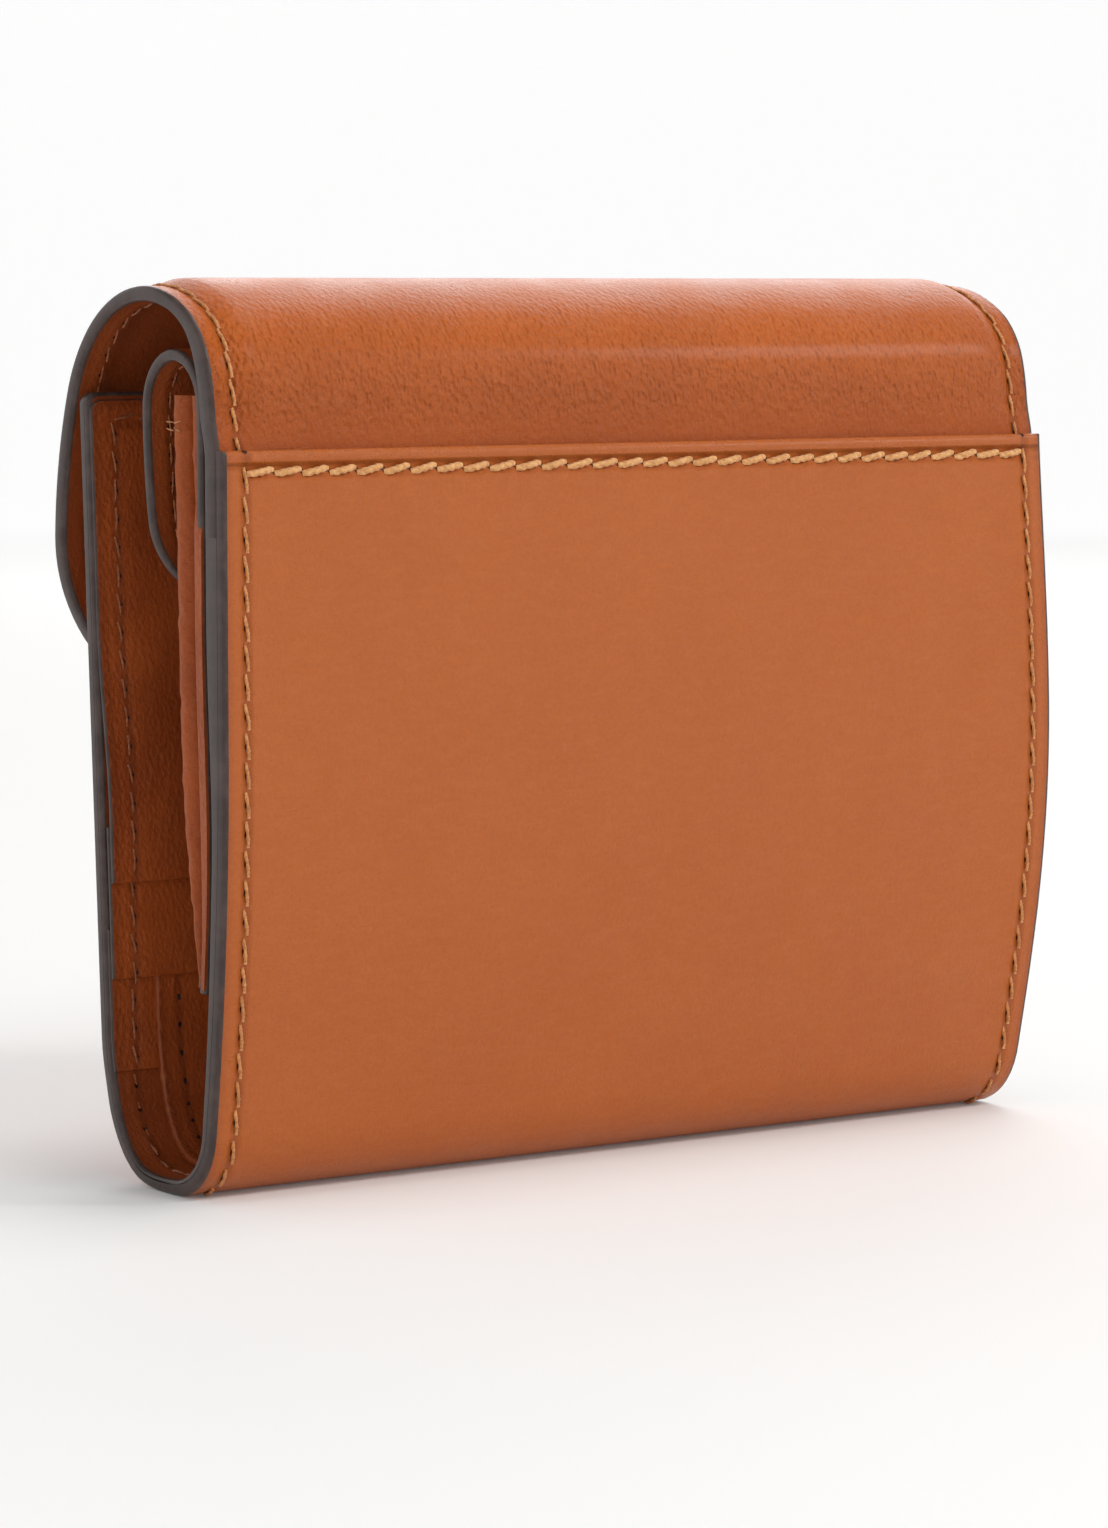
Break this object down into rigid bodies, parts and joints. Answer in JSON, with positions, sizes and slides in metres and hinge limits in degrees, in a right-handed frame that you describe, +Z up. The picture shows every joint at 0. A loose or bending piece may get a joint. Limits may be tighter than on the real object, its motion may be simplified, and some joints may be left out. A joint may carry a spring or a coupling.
{
  "type": "trifold wallet",
  "caption": "Small trifold leather wallet, standing closed: slip pocket on the back, inner card slots, coin pouch with its own flap, snap closures.",
  "frame": {"origin": "under the middle of the closed wallet's box, on the surface that it stands on", "axes": "+Z up, +Y out of the back with the slip pocket, -Y out of the closing flap, X along the width"},
  "size_m": [0.11, 0.0377, 0.097],
  "materials": {
    "outer_leather": "orange-tan fine-grained leather, satin sheen, darker towards the lip of the pocket",
    "inner_leather": "dark red-brown smooth leather",
    "lining_leather": "red-brown thin split leather lining",
    "board": "bonded leather stiffening board",
    "snap_metal": "antiqued brass press stud",
    "edge_paint": "satin dark taupe edge paint on every cut edge",
    "thread": "waxed golden-orange sewing thread"
  },
  "bodies": {
    "back": {"back_pocket_panel": "outer_leather", "back_cover": "outer_leather", "back_board": "board", "back_lining": "lining_leather", "coin_pouch_back": "inner_leather", "coin_pouch_front": "inner_leather", "coin_gusset_left": "inner_leather", "coin_gusset_right": "inner_leather", "coin_snap_stud": "snap_metal", "coin_snap_plate": "snap_metal", "note_divider_back": "lining_leather"},
    "top_fold_1": {"top_fold_cover_1": "outer_leather", "top_fold_lining_1": "lining_leather"},
    "top_fold_2": {"top_fold_cover_2": "outer_leather", "top_fold_lining_2": "lining_leather"},
    "top_fold_3": {"top_fold_cover_3": "outer_leather", "top_fold_lining_3": "lining_leather"},
    "flap": {"flap_cover": "outer_leather", "flap_board": "board", "flap_lining": "lining_leather", "flap_snap_cap": "snap_metal", "flap_snap_socket": "snap_metal"},
    "bottom_fold_1": {"bottom_fold_outer_1": "outer_leather", "bottom_fold_lining_1": "lining_leather", "note_divider_1": "lining_leather"},
    "bottom_fold_2": {"bottom_fold_outer_2": "outer_leather", "bottom_fold_lining_2": "lining_leather", "note_divider_2": "lining_leather"},
    "bottom_fold_3": {"bottom_fold_outer_3": "outer_leather", "bottom_fold_lining_3": "lining_leather", "note_divider_3": "lining_leather"},
    "front": {"front_panel": "outer_leather", "front_board": "board", "front_lining": "lining_leather", "card_slot_1": "inner_leather", "card_slot_2": "inner_leather", "card_slot_3": "inner_leather", "front_snap_stud": "snap_metal", "front_snap_plate": "snap_metal", "note_divider_front": "lining_leather"},
    "coin_bend": {"coin_fold": "inner_leather"},
    "coin_flap": {"coin_flap": "inner_leather", "coin_flap_lining": "lining_leather", "coin_flap_snap_cap": "snap_metal", "coin_flap_snap_socket": "snap_metal"}
  },
  "joints": [
    {"name": "front_open", "type": "hinge", "parent": "back", "child": "bottom_fold_1", "pos_m": [0, 0.01515, 0.00436], "axis": [1, 0, 0], "range_deg": [0, 43], "deforming": ["top_fold_cover_1", "top_fold_lining_1", "top_fold_cover_2", "top_fold_lining_2", "top_fold_cover_3", "top_fold_lining_3", "flap_cover", "flap_board", "flap_lining", "flap_snap_cap", "flap_snap_socket", "coin_fold", "coin_flap", "coin_flap_lining", "coin_flap_snap_cap", "coin_flap_snap_socket"]},
    {"name": "front_fold_2", "type": "hinge", "parent": "bottom_fold_1", "child": "bottom_fold_2", "pos_m": [0, 0.01055, 0.00037], "axis": [1, 0, 0], "range_deg": [0, 43]},
    {"name": "front_fold_3", "type": "hinge", "parent": "bottom_fold_2", "child": "bottom_fold_3", "pos_m": [0, -0.0017, 0.00044], "axis": [1, 0, 0], "range_deg": [0, 43]},
    {"name": "front_fold_4", "type": "hinge", "parent": "bottom_fold_3", "child": "front", "pos_m": [0, -0.00666, 0.00514], "axis": [1, 0, 0], "range_deg": [0, 43]},
    {"name": "flap_open", "type": "hinge", "parent": "back", "child": "top_fold_1", "pos_m": [0, 0.01617, 0.0898], "axis": [-1, 0, 0], "range_deg": [0, 42]},
    {"name": "flap_fold_2", "type": "hinge", "parent": "top_fold_1", "child": "top_fold_2", "pos_m": [0, 0.00875, 0.09623], "axis": [-1, 0, 0], "range_deg": [0, 42]},
    {"name": "flap_fold_3", "type": "hinge", "parent": "top_fold_2", "child": "top_fold_3", "pos_m": [0, -0.0043, 0.09619], "axis": [-1, 0, 0], "range_deg": [0, 42]},
    {"name": "flap_fold_4", "type": "hinge", "parent": "top_fold_3", "child": "flap", "pos_m": [0, -0.01485, 0.08615], "axis": [-1, 0, 0], "range_deg": [0, 42]},
    {"name": "coin_flap_open", "type": "hinge", "parent": "back", "child": "coin_bend", "pos_m": [0, 0.01302, 0.08827], "axis": [-1, 0, 0], "range_deg": [0, 74]},
    {"name": "coin_flap_fold_2", "type": "hinge", "parent": "coin_bend", "child": "coin_flap", "pos_m": [0, 0.00328, 0.08827], "axis": [-1, 0, 0], "range_deg": [0, 74]}
  ],
  "couplings": [
    {"joint": "front_fold_2", "follows": "front_open", "ratio": 1},
    {"joint": "front_fold_3", "follows": "front_open", "ratio": 1},
    {"joint": "front_fold_4", "follows": "front_open", "ratio": 1},
    {"joint": "flap_fold_2", "follows": "flap_open", "ratio": 1},
    {"joint": "flap_fold_3", "follows": "flap_open", "ratio": 1},
    {"joint": "flap_fold_4", "follows": "flap_open", "ratio": 1},
    {"joint": "coin_flap_fold_2", "follows": "coin_flap_open", "ratio": 1}
  ]
}
